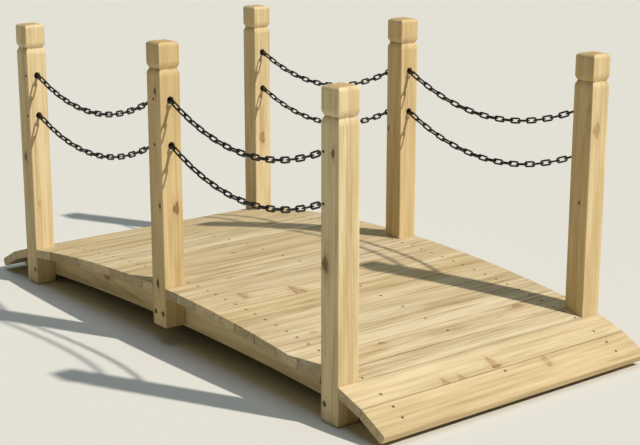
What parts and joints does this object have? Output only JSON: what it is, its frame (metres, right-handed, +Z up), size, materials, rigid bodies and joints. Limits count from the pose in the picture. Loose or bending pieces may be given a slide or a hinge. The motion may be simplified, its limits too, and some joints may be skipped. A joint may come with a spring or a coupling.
{
  "type": "garden footbridge",
  "caption": "Low arched timber garden footbridge with grooved square posts, plank deck, sloped end boards and black chains hanging as hand rails.",
  "frame": {"origin": "on the ground under the middle of the bridge", "axes": "+X along the walk to the front end, +Y across to the right-hand posts, +Z up"},
  "size_m": [1.4956, 0.719, 0.6605],
  "materials": {
    "post_wood": "bare planed softwood",
    "beam_wood": "bare sawn softwood",
    "board_wood": "bare planed softwood",
    "black_chain": "semi-gloss black",
    "nail_steel": "dull steel"
  },
  "bodies": {
    "root": {"post_left_back": "post_wood", "post_left_middle": "post_wood", "post_left_front": "post_wood", "post_right_back": "post_wood", "post_right_middle": "post_wood", "post_right_front": "post_wood", "beam_left": "beam_wood", "beam_centre": "beam_wood", "beam_right": "beam_wood", "deck_board_01": "board_wood", "deck_board_02": "board_wood", "deck_board_03": "board_wood", "deck_board_04": "board_wood", "deck_board_05": "board_wood", "deck_board_06": "board_wood", "deck_board_07": "board_wood", "deck_board_08": "board_wood", "deck_board_09": "board_wood", "deck_board_10": "board_wood", "deck_board_11": "board_wood", "deck_board_12": "board_wood", "deck_board_13": "board_wood", "deck_board_14": "board_wood", "deck_board_15": "board_wood", "deck_board_16": "board_wood", "end_board_back": "board_wood", "end_board_front": "board_wood", "ramp_board_back_1": "board_wood", "ramp_board_back_2": "board_wood", "ramp_board_front_1": "board_wood", "ramp_board_front_2": "board_wood", "chain_left_upper": "black_chain", "chain_left_lower": "black_chain", "chain_right_upper": "black_chain", "chain_right_lower": "black_chain", "chain_nails_left": "nail_steel", "chain_nails_right": "nail_steel"}
  },
  "joints": []
}
